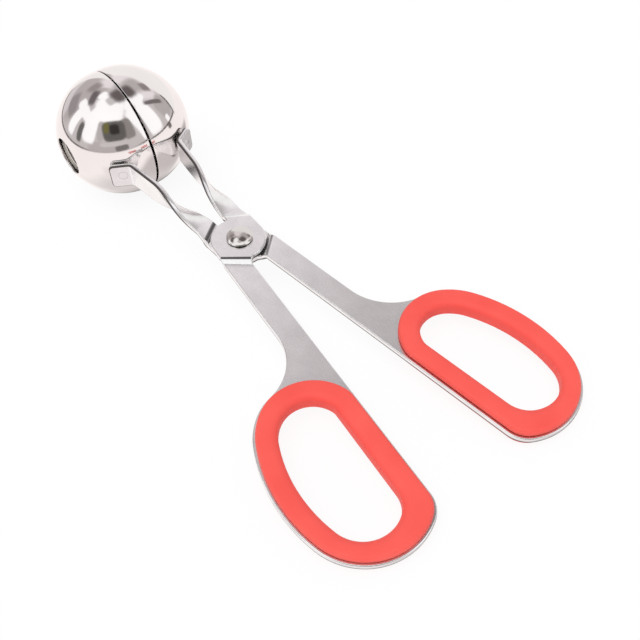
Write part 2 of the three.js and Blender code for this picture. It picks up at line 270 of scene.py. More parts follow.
def satin_stainless_sheet(welds):
    """Cold-rolled stainless sheet, blanked and then tumbled with media, which rounds its edges and
    leaves a satin face: soft, unsharp reflections with a faint lengthwise rolling grain. The cut
    edge is bright where the punch sheared it and rougher along its lower part, where it tore; that
    lower part, on the side that looks down on either arm, is also painted darker as shade. Dark lines
    are painted across the steps, on the bend where the handle goes down from the pad and in the
    hollow of each bend, as painted shade and dark reflection. Each tab carries the shallow ring that
    the spot welder's tip left."""
    material, tree = blank_material("satin_tumbled_stainless_sheet")
    place = add(tree, "ShaderNodeTexCoord").outputs["Object"]
    # Rolling grain about 0.1 mm apart and 1 mm long; it is drawn at 0.4 mm and 2 mm so that it shows
    along = add(tree, "ShaderNodeMapping", [(0, place)], in_3=(2500.0, 500.0, 2500.0)).outputs[0]
    grain = add(tree, "ShaderNodeTexNoise", [(0, along)], in_Scale=1.0, in_Detail=3.0).outputs[0]
    # Tumbling leaves patches of about 5 mm that are a little brighter or duller
    cloud = add(tree, "ShaderNodeTexNoise", [(0, place)], in_Scale=180.0, in_Detail=3.0).outputs[0]
    patch = add(tree, "ShaderNodeMapRange", [(0, cloud)], in_1=0.3, in_2=0.7).outputs[0]
    face = add(tree, "ShaderNodeMixRGB", [(0, patch)],
               in_1=linear("#efeff0"), in_2=linear("#f9f9fa")).outputs[0]
    # Weld rings 3 mm across, with a groove 0.4 mm wide
    reach = None
    for weld in welds:
        gap = add(tree, "ShaderNodeVectorMath", [(0, place)],
                  operation="DISTANCE", in_1=weld).outputs["Value"]
        reach = gap if reach is None else add(
            tree, "ShaderNodeMath", [(0, reach), (1, gap)], operation="MINIMUM").outputs[0]
    off = add(tree, "ShaderNodeMath", [(0, reach)], operation="SUBTRACT", in_1=0.0015).outputs[0]
    off = add(tree, "ShaderNodeMath", [(0, off)], operation="ABSOLUTE").outputs[0]
    ring = add(tree, "ShaderNodeMapRange", [(0, off)], interpolation_type="SMOOTHSTEP",
               in_1=0.0, in_2=0.0004, in_3=1.0, in_4=0.0).outputs[0]
    mark = add(tree, "ShaderNodeMath", [(0, ring)], operation="MULTIPLY", in_1=0.35).outputs[0]
    face = add(tree, "ShaderNodeMixRGB", [(0, mark), (1, face)], in_2=linear("#a9a3a2")).outputs[0]
    # Dark lines across the bends of the steps: painted shade and dark reflection
    bend_shade = add(tree, "ShaderNodeAttribute", attribute_name="bend_shade").outputs["Fac"]
    face = add(tree, "ShaderNodeMixRGB", [(0, bend_shade), (1, face)], in_2=linear("#2b2827")).outputs[0]
    # Darker grey on the lower part of the cut edge: painted shade under the sheet, with the tear's roughness
    torn_shade = add(tree, "ShaderNodeAttribute", attribute_name="shaded_torn_edge").outputs["Fac"]
    colour = add(tree, "ShaderNodeMixRGB", [(0, torn_shade), (1, face)], in_2=linear("#67615f")).outputs[0]
    rough = add(tree, "ShaderNodeMapRange", [(0, grain)], in_1=0.3, in_2=0.7, in_3=0.2, in_4=0.28).outputs[0]
    rough = add(tree, "ShaderNodeMath", [(0, torn_shade), (2, rough)],
                operation="MULTIPLY_ADD", in_1=0.2).outputs[0]
    scored = add(tree, "ShaderNodeBump", [("Height", grain)],
                 in_Strength=0.3, in_Distance=0.00002).outputs[0]
    dented = add(tree, "ShaderNodeBump", [("Height", ring), ("Normal", scored)], invert=True,
                 in_Strength=0.8, in_Distance=0.0001).outputs[0]
    steel = add(tree, "ShaderNodeBsdfPrincipled",
                [("Base Color", colour), ("Roughness", rough), ("Normal", dented)], in_Metallic=1.0)
    add(tree, "ShaderNodeOutputMaterial", [(0, steel.outputs[0])])
    return material


def mirror_stainless_shell():
    """Stainless shell, deep drawn and buffed to a mirror: clear reflections with slightly soft
    borders, a waviness from the press and a few faint buffing marks. The hollow is smoother and a
    little duller, so light that enters one vent shows again, dimmed, in the other."""
    material, tree = blank_material("mirror_buffed_stainless_shell")
    place = add(tree, "ShaderNodeTexCoord").outputs["Object"]
    # Waviness of the drawn wall, about 12 mm from crest to crest
    wave = add(tree, "ShaderNodeTexNoise", [(0, place)], in_Scale=85.0, in_Detail=1.0).outputs[0]
    # Buffing marks, real width 0.02 mm, drawn at 0.15 mm
    turned = add(tree, "ShaderNodeMapping", [(0, place)], in_3=(900.0, 6500.0, 900.0)).outputs[0]
    marks = add(tree, "ShaderNodeTexNoise", [(0, turned)], in_Scale=1.0, in_Detail=2.0).outputs[0]
    patch = add(tree, "ShaderNodeMapRange", [(0, wave)], in_1=0.3, in_2=0.7).outputs[0]
    bright = add(tree, "ShaderNodeMixRGB", [(0, patch)],
                 in_1=linear("#efebeb"), in_2=linear("#f3f0ef")).outputs[0]
    inside = add(tree, "ShaderNodeAttribute", attribute_name="inner_wall").outputs["Fac"]
    colour = add(tree, "ShaderNodeMixRGB", [(0, inside), (1, bright)], in_2=linear("#e6e3e0")).outputs[0]
    rough = add(tree, "ShaderNodeMapRange", [(0, marks)],
                in_1=0.35, in_2=0.75, in_3=0.07, in_4=0.11).outputs[0]
    rough = add(tree, "ShaderNodeMath", [(0, inside), (2, rough)],
                operation="MULTIPLY_ADD", in_1=-0.05).outputs[0]
    bump = add(tree, "ShaderNodeBump", [("Height", wave)], in_Strength=0.25, in_Distance=0.00015).outputs[0]
    steel = add(tree, "ShaderNodeBsdfPrincipled",
                [("Base Color", colour), ("Roughness", rough), ("Normal", bump)], in_Metallic=1.0)
    add(tree, "ShaderNodeOutputMaterial", [(0, steel.outputs[0])])
    return material


def coral_moulded_polypropylene():
    """Soft-touch polypropylene, injection moulded in a spark-eroded mould: matt, with a fine even
    grain and a weak broad sheen."""
    material, tree = blank_material("coral_moulded_polypropylene")
    place = add(tree, "ShaderNodeTexCoord").outputs["Object"]
    # Mould grain 0.1 mm across, drawn at 0.3 mm
    grain = add(tree, "ShaderNodeTexNoise", [(0, place)], in_Scale=3300.0, in_Detail=2.0).outputs[0]
    # Pigment and handling vary over about 15 mm
    cloud = add(tree, "ShaderNodeTexNoise", [(0, place)], in_Scale=65.0, in_Detail=2.0).outputs[0]
    patch = add(tree, "ShaderNodeMapRange", [(0, cloud)], in_1=0.3, in_2=0.7).outputs[0]
    colour = add(tree, "ShaderNodeMixRGB", [(0, patch)],
                 in_1=linear("#f5544b"), in_2=linear("#fa5e54")).outputs[0]
    rough = add(tree, "ShaderNodeMapRange", [(0, grain)], in_1=0.3, in_2=0.7, in_3=0.48, in_4=0.6).outputs[0]
    bump = add(tree, "ShaderNodeBump", [("Height", grain)], in_Strength=0.2, in_Distance=0.00003).outputs[0]
    plastic = add(tree, "ShaderNodeBsdfPrincipled",
                  [("Base Color", colour), ("Roughness", rough), ("Normal", bump)], in_IOR=1.49)
    add(tree, "ShaderNodeOutputMaterial", [(0, plastic.outputs[0])])
    return material


def polished_rivet_steel():
    """Solid stainless rivet, headed cold and polished: bright, with the faint rings of the setting
    tool round its axis."""
    material, tree = blank_material("polished_cold_headed_rivet")
    place = add(tree, "ShaderNodeTexCoord").outputs["Object"]
    centred = add(tree, "ShaderNodeMapping", [(0, place)], vector_type="POINT",
                  in_1=tuple(-PIVOT), in_3=(1.0, 1.0, 1.0)).outputs[0]
    # Rings 0.25 mm apart
    rings = add(tree, "ShaderNodeTexWave", [(0, centred)], wave_type="RINGS", rings_direction="Z",
                in_Scale=640.0, in_Distortion=1.5, in_Detail=2.0).outputs[1]
    colour = add(tree, "ShaderNodeMixRGB", [(0, rings)],
                 in_1=linear("#dad7d4"), in_2=linear("#e4e1de")).outputs[0]
    rough = add(tree, "ShaderNodeMapRange", [(0, rings)], in_3=0.05, in_4=0.09).outputs[0]
    bump = add(tree, "ShaderNodeBump", [("Height", rings)], in_Strength=0.1, in_Distance=0.00002).outputs[0]
    steel = add(tree, "ShaderNodeBsdfPrincipled",
                [("Base Color", colour), ("Roughness", rough), ("Normal", bump)], in_Metallic=1.0)
    add(tree, "ShaderNodeOutputMaterial", [(0, steel.outputs[0])])
    return material


# Finger loop outlines

along = direction(-math.pi / 2 - HANDLE_LEAN)
inward = direction(-HANDLE_LEAN)
inner_edge = -SHANK_INSET
outer_edge = inner_edge - SHANK_WIDTH


def on_handle(across, reach):
    return along * reach + inward * across


def loop_arcs(start, radii):
    """Chain of tangent arcs from a start point. Each centre lies one radius inwards of the last
    corner; the toe's radius closes the chain on the straight inner side."""
    chords = direction(LOOP_TURNS[1:]) - direction(LOOP_TURNS[:-1])
    radii = np.array(radii)
    radii[TOE] = -(radii @ chords) @ inward / (chords[TOE] @ inward)
    corners = start + np.cumsum(np.vstack([[0, 0], radii[:, None] * chords]), axis=0)
    centres = corners[:-1] - radii[:, None] * direction(LOOP_TURNS[:-1])
    return centres, radii


def contour(arcs, offset, first=0, start_turn=None):
    """Points of the chain moved outwards by offset, and the outward angle at each."""
    points, angles = [], []
    for i, (centre, radius) in enumerate(zip(*arcs)):
        if i < first:
            continue
        turn = start_turn if i == first and start_turn is not None else LOOP_TURNS[i]
        count = max(3, int(math.ceil((LOOP_TURNS[i + 1] - turn) / math.radians(3))))
        step = np.linspace(turn, LOOP_TURNS[i + 1], count + 1)[0 if i == first else 1:]
        points.append(centre + (radius + offset) * direction(step))
        angles.append(step)
    return np.concatenate(points), np.concatenate(angles)


rim_arcs = loop_arcs(on_handle(inner_edge - RIM_EXPOSURE, RIM_REACH), RIM_RADII)
hole_arcs = loop_arcs(on_handle(inner_edge - RIM_EXPOSURE - GRIP_WIDTH, HOLE_REACH), HOLE_RADII)


# Arm outline, pieces in order anticlockwise from the handle step

pad_centre = on_handle(outer_edge + PAD_RADIUS, -PAD_AHEAD)
crotch_across = inner_edge + CROTCH_RADIUS
crotch_gap = crotch_across - pad_centre @ inward
crotch_ahead = math.sqrt((PAD_RADIUS + CROTCH_RADIUS) ** 2 - crotch_gap ** 2)
crotch_centre = on_handle(crotch_across, pad_centre @ along + crotch_ahead)
crotch_turn = angle_of(crotch_centre - pad_centre)
handle_step = direction(-math.pi / 2 - HANDLE_STEP_ANGLE)

forward = direction(math.pi / 2 - STRAP_LEAN)
outward = direction(-STRAP_LEAN)
strap_inner = STRAP_OFFSET - STRAP_NECK_WIDTH / 2
strap_outer = strap_inner + STRAP_ROOT_WIDTH
strap_step = direction(math.pi / 2 - STRAP_STEP_ANGLE)

tab_forward = direction(TAB_DIRECTION)
tab_outward = direction(TAB_DIRECTION - math.pi / 2)
tab_plane = np.array([CUP_RIM, BALL_DISTANCE]) @ tab_outward + BALL_RADIUS + SEAT_GAP + HALF_SHEET
crease = crossing(outward, STRAP_OFFSET, tab_outward, tab_plane)
bend_angle = math.pi / 2 - STRAP_LEAN - TAB_DIRECTION
bend_trim = BEND_RADIUS * math.tan(bend_angle / 2)
bend_start = crease - forward * bend_trim
bend_centre = bend_start + outward * BEND_RADIUS
straight_end = bend_start @ forward


def handle_sides(distance):
    """Both edges of the handle on a line across the handle step, at a distance from the rivet."""
    outer = crossing(handle_step, distance, inward, outer_edge)
    inner = crossing(handle_step, distance, inward, inner_edge)
    if inner @ along < crotch_centre @ along:
        offset = distance - handle_step @ crotch_centre
        side = direction(angle_of(handle_step) - math.pi / 2)
        inner = crotch_centre + handle_step * offset
        inner = inner + side * math.sqrt(max(0, CROTCH_RADIUS ** 2 - offset ** 2))
    return inner, outer


def strap_sides(distance):
    """Both edges of the strap's root on a line across its step, at a distance from the rivet."""
    foot = crossing(strap_step, STRAP_STEP_START + STEP_RUN, outward, strap_outer)
    rise = foot - pad_centre
    turn = angle_of(rise) - math.acos(PAD_RADIUS / np.hypot(*rise))
    side = direction(turn)
    inner = crossing(strap_step, distance, outward, strap_inner)
    outer = crossing(strap_step, distance, side, PAD_RADIUS + pad_centre @ side)
    return inner, outer, turn


def lifted(points, height):
    points = np.atleast_2d(points)
    return np.column_stack([points, np.full(len(points), height)])


def step_height(share):
    """Height of a step from the pad's level to the middle level: an S of two bends and a ramp."""
    return PAD_LIFT * (1 - smooth(share, -STEP_EASE, 1 + STEP_EASE))


def strip_normals(edge, across):
    """Normals of a ruled strip along one of its edges: across the strip times along the edge."""
    normal = np.cross(across, np.gradient(edge, axis=0))
    return normal / np.linalg.norm(normal, axis=1)[:, None]


def arm_strip():
    """The strap from its step to the tab's end: rows of two edge points. Beyond the step each row
    is centred on a straight line; it turns about that line by a smooth quarter turn while its
    width grows, follows an arc on to the tab, and narrows round the tab's corners."""
    inner_rows, outer_rows = [], []
    for share in STRAP_STEP_SHARES:
        inner, outer, _ = strap_sides(STRAP_STEP_START + STEP_RUN * share)
        height = step_height(share)
        inner_rows.append([*inner, height])
        outer_rows.append([*outer, height])
    begin = inner_rows[-1][0] * forward[0] + inner_rows[-1][1] * forward[1] + TWIST_LEAD
    reach = np.linspace(begin, TWIST_END, 44)
    turn = smooth(reach, TWIST_START, TWIST_END) * math.pi / 2
    share = smooth(reach, TWIST_START, straight_end)
    half = (STRAP_NECK_WIDTH + (TAB_WIDTH - STRAP_NECK_WIDTH) * share) / 2
    middle = lifted(outward * STRAP_OFFSET + reach[:, None] * forward, 0)
    across = np.column_stack([np.cos(turn)[:, None] * outward, -np.sin(turn)])
    inner_rows = np.vstack([inner_rows, middle - across * half[:, None]])
    outer_rows = np.vstack([outer_rows, middle + across * half[:, None]])
    bend = np.linspace(0, bend_angle, 10)
    sides = direction(-STRAP_LEAN - bend)
    middle = lifted(bend_centre - sides * BEND_RADIUS, 0)
    drop = np.array([0, 0, TAB_WIDTH / 2])
    inner_rows = np.vstack([inner_rows, middle + drop])
    outer_rows = np.vstack([outer_rows, middle - drop])
    corner = np.linspace(0, math.pi / 2, 9)
    reach = TAB_LENGTH - TAB_CORNER * (1 - np.sin(corner))
    half = TAB_WIDTH / 2 - TAB_CORNER * (1 - np.cos(corner))
    middle = lifted(crease + reach[:, None] * tab_forward, 0)
    drop = np.column_stack([np.zeros((len(half), 2)), half])
    inner_rows = np.vstack([inner_rows, middle + drop])
    outer_rows = np.vstack([outer_rows, middle - drop])
    across = outer_rows - inner_rows
    inner_normals = strip_normals(inner_rows, across)
    outer_normals = strip_normals(outer_rows, across)
    for normals in (inner_normals, outer_normals):
        normals[0] = (0, 0, 1)
        normals[-9:] = (*tab_outward, 0)
    return inner_rows, outer_rows, inner_normals, outer_normals


def handle_strip():
    """The handle's step, from the pad's level down to the handle's, and the first of the handle:
    rows of two edge points."""
    share = HANDLE_STEP_SHARES
    sides = [handle_sides(HANDLE_STEP_START + STEP_RUN * s) for s in share]
    height = step_height(share)
    inner = np.column_stack([np.array([s[0] for s in sides]), height])
    outer = np.column_stack([np.array([s[1] for s in sides]), height])
    slope = np.gradient(height, STEP_RUN * share)
    slope[[0, -1]] = 0
    normal = np.column_stack([-slope[:, None] * handle_step, np.ones(len(share))])
    return inner, outer, normal / np.linalg.norm(normal, axis=1)[:, None]


def handle_outline():
    """From the step's outer end along the flare and round the loop's rim to its inner end."""
    centres, radii = rim_arcs
    shoulder_radius = radii[1] + RIM_EXPOSURE - RIM_EASE
    flare_across = outer_edge - FLARE_RADIUS
    across_gap = flare_across - centres[1] @ inward
    along_gap = math.sqrt((FLARE_RADIUS + shoulder_radius) ** 2 - across_gap ** 2)
    flare_centre = on_handle(flare_across, centres[1] @ along - along_gap)
    flare_turn = angle_of(flare_centre - centres[1])
    flare = arc(flare_centre, FLARE_RADIUS, -HANDLE_LEAN, flare_turn - math.pi)
    loop, _ = contour(rim_arcs, RIM_EXPOSURE - RIM_EASE, 1, flare_turn)
    return np.vstack([flare[:-1], loop])


def edge_profile():
    """The cut edge of the sheet from its upper face to its lower one, as a curve whose normal
    turns from straight up to straight down: small arcs round both corners, and between them one
    arc of a large radius, the crown. Gives the distance in from the outline, the height and the
    normal's angle."""
    corner = np.linspace(math.pi / 2, EDGE_CROWN, 6)
    crown = np.linspace(EDGE_CROWN, -EDGE_CROWN, 7)[1:-1]
    crown_radius = (HALF_SHEET - EDGE_ROUND * (1 - math.sin(EDGE_CROWN))) / math.sin(EDGE_CROWN)
    crown_inset = crown_radius * (1 - math.cos(EDGE_CROWN))
    inset = crown_inset + EDGE_ROUND * (math.cos(EDGE_CROWN) - np.cos(corner))
    height = HALF_SHEET - EDGE_ROUND * (1 - np.sin(corner))
    inset = np.concatenate([inset, crown_radius * (1 - np.cos(crown)), inset[::-1]])
    height = np.concatenate([height, crown_radius * np.sin(crown), -height[::-1]])
    return inset, height, np.concatenate([corner, crown, -corner[::-1]])


def carried_edge(path, normals):
    """The edge profile carried along a closed path: each point moves inwards, square to the path
    and in the sheet, by the inset over the cosine of half the corner's angle, and along the normal
    by the height. Also gives the normals of the edge's surface there."""
    inset, height, turn = edge_profile()
    step = np.roll(path, -1, axis=0) - path
    step /= np.linalg.norm(step, axis=1)[:, None]
    before = np.roll(step, 1, axis=0)
    tangent = step + before
    tangent /= np.linalg.norm(tangent, axis=1)[:, None]
    mitre = np.clip(np.sum(tangent * step, axis=1), 0.6, 1)
    inwards = np.cross(normals, tangent)
    inwards /= np.linalg.norm(inwards, axis=1)[:, None]
    facing = np.sin(turn)[:, None] * normals[:, None] - np.cos(turn)[:, None] * inwards[:, None]
    inwards /= mitre[:, None]
    points = path[:, None] + inset[:, None] * inwards[:, None] + height[:, None] * normals[:, None]
    return points.reshape(-1, 3), facing.reshape(-1, 3)


def flat_cap(points, loops):
    """Triangles of a flat face with holes, as indices into points, facing upwards."""
    flat = [[Vector(points[i]) for i in loop] for loop in loops]
    order = np.concatenate(loops)
    faces = []
    for a, b, c in tessellate_polygon(flat):
        a, b, c = order[a], order[b], order[c]
        u, v = points[b] - points[a], points[c] - points[a]
        faces.append([a, b, c] if u[0] * v[1] - u[1] * v[0] > 0 else [a, c, b])
    return faces


def arm(name, turned, body, node):
    """One arm in a single skin: the rounded edge carried along the outline, the rivet hole and the
    loop's opening, then an upper and a lower face between those edges."""
    strap_in, strap_out, strap_in_normals, strap_out_normals = arm_strip()
    step_in, step_out, step_normals = handle_strip()
    turn = strap_sides(STRAP_STEP_START)[2]
    crotch_from = angle_of(step_in[0][:2] - crotch_centre)
    crotch = arc(crotch_centre, CROTCH_RADIUS, crotch_from, crotch_turn - math.pi, math.radians(10))
    front = arc(pad_centre, PAD_RADIUS, crotch_turn - 2 * math.pi, turn)
    inset = math.acos((strap_inner - pad_centre @ outward) / PAD_RADIUS)
    back = arc(pad_centre, PAD_RADIUS, inset - STRAP_LEAN, math.pi - HANDLE_LEAN)
    handle = lifted(handle_outline(), 0)
    parts = [
        ("handle", handle, None),
        ("step_in", step_in[::-1], step_normals[::-1]),
        ("front", lifted(np.vstack([crotch[1:-1], front[:-1]]), PAD_LIFT), None),
        ("strap_out", strap_out, strap_out_normals),
        ("strap_in", strap_in[::-1], strap_in_normals[::-1]),
        ("back", lifted(back, PAD_LIFT), None),
        ("step_out", step_out, step_normals),
    ]
    at, path, normals = {}, [], []
    count = 0
    for key, points, normal in parts:
        at[key] = np.arange(count, count + len(points))
        count += len(points)
        path.append(points)
        normals.append(np.tile([0.0, 0, 1], (len(points), 1)) if normal is None else normal)
    circle = arc(np.zeros(2), RIVET_RADIUS + SEAT_GAP, 2 * math.pi, 0, math.radians(8))[:-1]
    opening = contour(hole_arcs, GRIP_LINING)[0][::-1]
    loops = [
        (np.vstack(path), np.vstack(normals)),
        (lifted(circle, PAD_LIFT), np.tile([0.0, 0, 1], (len(circle), 1))),
        (lifted(opening, 0), np.tile([0.0, 0, 1], (len(opening), 1))),
    ]
    across = len(edge_profile()[0])
    points, facing, faces, starts = [], [], [], []
    total = 0
    for path_points, path_normals in loops:
        edge_points, edge_facing = carried_edge(path_points, path_normals)
        faces += band_faces(len(path_points), across, total)
        starts.append(total)
        points.append(edge_points)
        facing.append(edge_facing)
        total += len(edge_points)
    points, facing = np.vstack(points), np.vstack(facing)
    rivet_loop = starts[1] + np.arange(len(circle)) * across
    opening_loop = starts[2] + np.arange(len(opening)) * across
    pad_loop = np.concatenate([
        [at["step_in"][-1]], at["front"], [at["strap_out"][0], at["strap_in"][-1]],
        at["back"], [at["step_out"][0]],
    ]) * across
    handle_loop = np.concatenate([
        [at["step_out"][-1]], at["handle"], [at["step_in"][0]],
    ]) * across
    for level, flip in ((0, False), (across - 1, True)):
        cap = flat_cap(points, [pad_loop + level, rivet_loop + level])
        cap += flat_cap(points, [handle_loop + level, opening_loop + level])
        for first, second in ((at["strap_in"][::-1], at["strap_out"]), (at["step_in"][::-1], at["step_out"])):
            a, b = first * across + level, second * across + level
            cap += np.stack([a[:-1], b[:-1], b[1:], a[1:]], axis=1).tolist()
        faces += [face[::-1] for face in cap] if flip else cap
    obj = surface(name, points, faces, turned, body, [node], sheet_steel, facing)
    # The lower part of the cut edge, on whichever face looks down, gets painted shade and the tear's
    # roughness
    torn_shade = obj.data.attributes.new("shaded_torn_edge", "FLOAT", "POINT")
    drop = edge_profile()[1] * (1 if turned else -1)
    share = smooth(drop, 0.05, 0.3) * (drop < HALF_SHEET - 1e-6)
    torn_shade.data.foreach_set("value", np.tile(share, len(points) // across))
    # Painted shade lines across the bends of the steps, held in a point attribute
    line = np.zeros(len(points))
    crest = painted_shade_line(HANDLE_STEP_SHARES, *HANDLE_BEND_SHADE) + painted_shade_line(HANDLE_STEP_SHARES, *HANDLE_FOOT_SHADE)
    hollow = painted_shade_line(HANDLE_STEP_SHARES, *HANDLE_HOLLOW_SHADE)
    for rows in (at["step_in"][::-1] * across, at["step_out"] * across):
        line[rows] = crest
        line[rows + across - 1] = hollow
    hollow = painted_shade_line(STRAP_STEP_SHARES, *STRAP_HOLLOW_SHADE)
    for rows in (at["strap_in"][::-1] * across, at["strap_out"] * across):
        line[rows[:len(hollow)] + across - 1] = hollow
    bend_shade = obj.data.attributes.new("bend_shade", "FLOAT", "POINT")
    bend_shade.data.foreach_set("value", line)
    return obj


def grip(name, turned, body, node):
    """The moulded channel carried round the loop. A section point lies a share of the way from the
    hole's outline to the rim's, plus an offset along the outward normal, at its height. The upper
    and lower corners are quarter ellipses of a named width and height, wider on the finger side."""
    top = GRIP_HEIGHT / 2
    groove = HALF_SHEET + SEAT_GAP
    lining = GRIP_LINING - SEAT_GAP
    turn = np.linspace(0, math.pi / 2, 7)
    wide, tall = GRIP_INNER_CORNER
    upper = [(0, wide * (1 - math.cos(t)), top - tall * (1 - math.sin(t))) for t in turn]
    wide, tall = GRIP_OUTER_CORNER
    upper += [(1, -wide * (1 - math.cos(t)), top - tall * (1 - math.sin(t))) for t in turn[::-1]]
    flange = [(1, 0, groove + GRIP_FLANGE_EDGE), (1, -GRIP_FLANGE_EDGE, groove)]
    seat = [(0, lining, groove)]
    half = upper + flange + seat
    section = np.array(half + [(s, o, -h) for s, o, h in half[::-1]])
    hole, angles = contour(hole_arcs, 0)
    rim, _ = contour(rim_arcs, 0)
    share, offset, height = section.T
    plan = hole[:, None] + share[:, None] * (rim - hole)[:, None]
    plan = plan + offset[:, None] * direction(angles)[:, None]
    points = np.concatenate([plan, np.broadcast_to(height, plan.shape[:2])[..., None]], axis=2)
    faces = tube_faces(len(points), len(section))
    return surface(name, points.reshape(-1, 3), faces, turned, body, [node], grip_plastic)


def cup(name, turned, body, node):
    """A shell turned about X: an outer and an inner quarter circle on a short straight brim. The
    brim's lip is ground flat, with a small quarter circle at each corner, and the vent's lip is a
    half circle across the wall. Then it is turned by the seam's tilt about the ball's centre."""
    lip = CUP_WALL / 2
    outside = BALL_RADIUS - BALL_EASE
    middle = outside - lip
    brim = SEAM_GAP / 2
    pole = math.acos((VENT_RADIUS + lip) / middle)
    turn = np.linspace(0, pole, 40)
    half = np.linspace(-math.pi / 2, math.pi / 2, 7)[1:-1]
    outer = np.column_stack([outside * np.cos(turn), CUP_RIM + outside * np.sin(turn)])
    inner = np.column_stack([
        (outside - CUP_WALL) * np.cos(turn), CUP_RIM + (outside - CUP_WALL) * np.sin(turn),
    ])[::-1]
    vent_centre = middle * direction(pole) + (0, CUP_RIM)
    ahead, aside = direction(pole + math.pi / 2), direction(pole)
    vent = vent_centre + lip * (np.cos(half)[:, None] * ahead - np.sin(half)[:, None] * aside)
    level = brim + LIP_CORNER
    corner = np.linspace(0, math.pi / 2, 5)
    inner_corner = np.column_stack([LIP_CORNER - CUP_WALL - LIP_CORNER * np.cos(corner),
                                    -LIP_CORNER * np.sin(corner)])
    outer_corner = np.column_stack([LIP_CORNER * np.sin(corner) - LIP_CORNER, -LIP_CORNER * np.cos(corner)])
    edge = np.vstack([inner_corner[1:], outer_corner]) + (outside, level)
    profile = np.vstack([edge, outer, vent, inner, [[outside - CUP_WALL, level]]])[::-1]
    spin = np.linspace(0, 2 * math.pi, CUP_SEGMENTS, endpoint=False)
    radius, reach = profile.T
    x = np.broadcast_to(reach, (len(spin), len(reach)))
    points = np.stack([x, np.cos(spin)[:, None] * radius, np.sin(spin)[:, None] * radius], axis=2)
    c, s = math.cos(SEAM_TILT), math.sin(SEAM_TILT)
    x, y, z = points.reshape(-1, 3).T
    points = np.stack([c * x - s * y, s * x + c * y + BALL_DISTANCE, z], axis=1)
    faces = tube_faces(len(spin), len(profile))
    obj = surface(name, points, faces, turned, body, [node], shell_steel)
    inside = np.zeros(len(profile))
    inside[:len(inner) + 1] = 1
    wall = obj.data.attributes.new("inner_wall", "FLOAT", "POINT")
    wall.data.foreach_set("value", np.tile(inside, len(spin)))
    return obj


def rivet():
    """Two domed heads on a plain shank, turned about the rivet's axis: each head stands on a short
    upright edge, and its dome rises by the sine of the turn from rim to crown, to a power."""
    seat = LAYER_GAP / 2 + SHEET + SEAT_GAP
    turn = np.linspace(0, math.pi / 2, 20)[:-1]
    rise = RIVET_HEAD_HEIGHT - RIVET_HEAD_EDGE
    dome = rise * np.sin(turn) ** RIVET_DOME_POWER
    head = np.column_stack([RIVET_HEAD_RADIUS * np.cos(turn), seat + RIVET_HEAD_EDGE + dome])
    lower = [(RIVET_RADIUS, seat), (RIVET_HEAD_RADIUS - RIVET_SEAT_EDGE, seat),
             (RIVET_HEAD_RADIUS, seat + RIVET_SEAT_EDGE)]
    half = np.vstack([lower, head])
    profile = np.vstack([half[::-1] * (1, -1), half])
    spin = np.linspace(0, 2 * math.pi, RIVET_SEGMENTS, endpoint=False)
    radius, height = profile.T
    z = np.broadcast_to(height, (len(spin), len(height)))
    points = np.stack([np.cos(spin)[:, None] * radius, np.sin(spin)[:, None] * radius, z], axis=2)
    count = len(profile)
    i = np.arange(len(spin))[:, None]
    j = np.arange(count - 1)[None, :]
    k = (i + 1) % len(spin)
    quads = np.stack([i * count + j, k * count + j, k * count + j + 1, i * count + j + 1], axis=-1)
    faces = quads.reshape(-1, 4).tolist()
    top = seat + RIVET_HEAD_HEIGHT
    points = np.vstack([points.reshape(-1, 3), [[0, 0, -top], [0, 0, top]]])
    low, high = len(points) - 2, len(points) - 1
    for a in range(len(spin)):
        b = (a + 1) % len(spin)
        faces.append([low, b * count, a * count])
        faces.append([high, a * count + count - 1, b * count + count - 1])
    return surface("rivet_pin", points, faces, False, "upper", ["rivet"], rivet_steel)


# Spot welds, in the middle of each tab's outer face
weld_middle = crease + tab_forward * WELD_REACH + tab_outward * HALF_SHEET
weld_points = [tuple(placed([*weld_middle, WELD_HEIGHT], turned)[0]) for turned in (False, True)]

sheet_steel = satin_stainless_sheet(weld_points)
shell_steel = mirror_stainless_shell()
grip_plastic = coral_moulded_polypropylene()
rivet_steel = polished_rivet_steel()

arm("upper_arm_strip", False, "upper", "upper_arm")
arm("lower_arm_strip", True, "lower", "lower_arm")
grip("left_grip_moulding", False, "upper", "left_grip")
grip("right_grip_moulding", True, "lower", "right_grip")
cup("right_cup_shell", False, "upper", "right_cup")
cup("left_cup_shell", True, "lower", "left_cup")
rivet()


# Studio

def white_table():
    """Matt white card under the tool. The camera sees it lit to white, apart from the share that
    the tool's shadow may darken. Mirror surfaces don't see it: the room's floor stands for it."""
    material, tree = blank_material("matt_white_table_card")
    place = add(tree, "ShaderNodeTexCoord").outputs["Object"]
    # Fibres of the card, about 1 mm
    fibre = add(tree, "ShaderNodeTexNoise", [(0, place)], in_Scale=900.0, in_Detail=2.0).outputs[0]
    colour = add(tree, "ShaderNodeMixRGB", [(0, fibre)],
                 in_1=linear("#fbfbfb"), in_2=linear("#ffffff")).outputs[0]
    card = add(tree, "ShaderNodeBsdfDiffuse", [(0, colour)])
    white = add(tree, "ShaderNodeEmission", in_1=1.0)
    seen = add(tree, "ShaderNodeLightPath").outputs["Is Camera Ray"]
    share = add(tree, "ShaderNodeMath", [(0, seen)], operation="MULTIPLY", in_1=0.9)
    mix = add(tree, "ShaderNodeMixShader",
              [(0, share.outputs[0]), (1, card.outputs[0]), (2, white.outputs[0])])
    add(tree, "ShaderNodeOutputMaterial", [(0, mix.outputs[0])])
    return material


